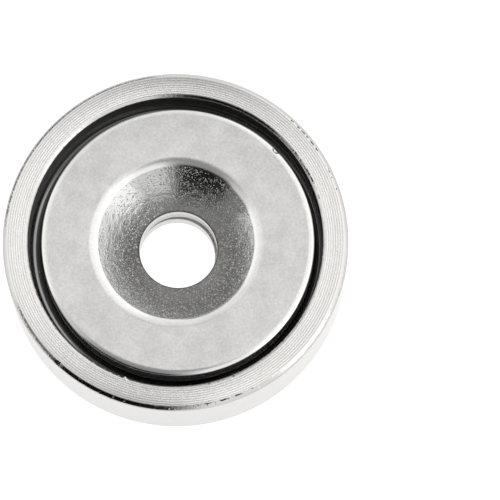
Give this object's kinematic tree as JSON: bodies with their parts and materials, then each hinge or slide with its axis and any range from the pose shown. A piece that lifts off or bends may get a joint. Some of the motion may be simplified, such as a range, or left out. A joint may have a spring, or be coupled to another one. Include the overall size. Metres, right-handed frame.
{
  "type": "pot magnet",
  "caption": "Round pot magnet: a nickel-plated ring magnet seated in a turned steel cup, with a countersunk hole through the middle so that a flat-headed screw can fix it to a surface.",
  "frame": {"origin": "centre of the pot's flat back face, on its axis", "axes": "+Z along the pot's axis, out of the holding face; +X and +Y across it, with the ring magnet set slightly off centre towards +X and -Y"},
  "size_m": [0.025, 0.025, 0.007],
  "materials": {
    "turned_steel": "steel turned on a lathe and bright nickel plated, with fine turning rings on the front rim and a smooth side wall",
    "nickel_plate": "satin nickel plate on sintered magnet, smooth on the face and finely pitted in the countersink",
    "potting_resin": "black potting resin, cast, with a glossy hollow surface"
  },
  "bodies": {
    "root": {"pot": "turned_steel", "magnet": "nickel_plate", "potting_ring": "potting_resin"}
  },
  "joints": []
}
